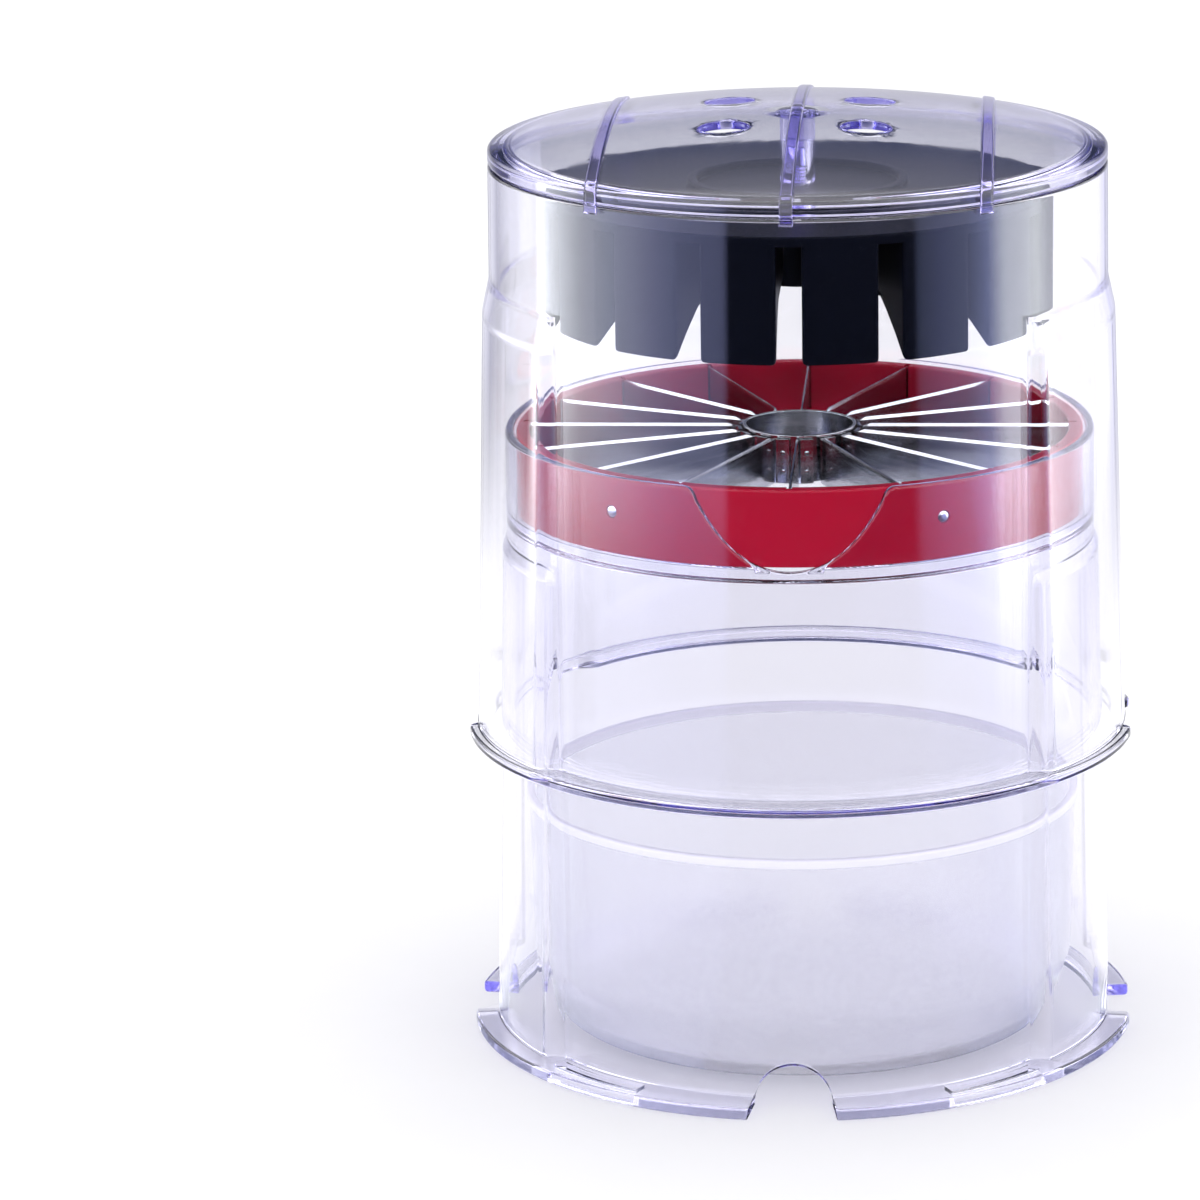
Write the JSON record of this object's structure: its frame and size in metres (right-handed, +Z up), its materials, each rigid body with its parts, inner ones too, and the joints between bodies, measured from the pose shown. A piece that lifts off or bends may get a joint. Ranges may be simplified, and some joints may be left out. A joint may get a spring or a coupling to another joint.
{
  "type": "apple slicer corer",
  "caption": "Press-down apple slicer and corer: a clear base over a catch bowl, a drop-in ring of radial blades round a core tube, and a clear sleeve with a slotted pusher.",
  "frame": {"origin": "centre of the base flange's underside, on the surface that the slicer stands on", "axes": "+Z up along the press stroke, front towards -Y, side keys towards +X and -X"},
  "size_m": [0.1124, 0.1132, 0.1578],
  "materials": {
    "clear_plastic": "clear, colourless, polished, violet where it is seen edge on",
    "frosted_plastic": "frosted, translucent white",
    "dark_plastic": "satin, near black navy",
    "red_plastic": "glossy crimson",
    "steel": "polished stainless sheet"
  },
  "bodies": {
    "bowl": {"catch_bowl": "frosted_plastic"},
    "base": {"base_housing": "clear_plastic"},
    "blade_cartridge": {"blade_ring": "red_plastic", "core_tube": "steel", "blade_01": "steel", "blade_02": "steel", "blade_03": "steel", "blade_04": "steel", "blade_05": "steel", "blade_06": "steel", "blade_07": "steel", "blade_08": "steel", "blade_09": "steel", "blade_10": "steel", "blade_11": "steel", "blade_12": "steel", "blade_13": "steel", "blade_14": "steel", "blade_15": "steel", "blade_16": "steel", "ring_pin_1": "steel", "ring_pin_2": "steel", "ring_pin_3": "steel", "ring_pin_4": "steel"},
    "press": {"press_sleeve": "clear_plastic", "press_cap": "clear_plastic", "pusher_head": "dark_plastic", "pusher_washer": "steel", "pusher_screw": "steel"}
  },
  "joints": [
    {"name": "base_lift", "type": "slide", "parent": "bowl", "child": "base", "axis": [0, 0, 1], "range_m": [0, 0.06]},
    {"name": "cartridge_lift", "type": "slide", "parent": "base", "child": "blade_cartridge", "axis": [0, 0, 1], "range_m": [0, 0.025]},
    {"name": "press_stroke", "type": "slide", "parent": "blade_cartridge", "child": "press", "axis": [0, 0, 1], "range_m": [-0.038, 0.06]}
  ]
}
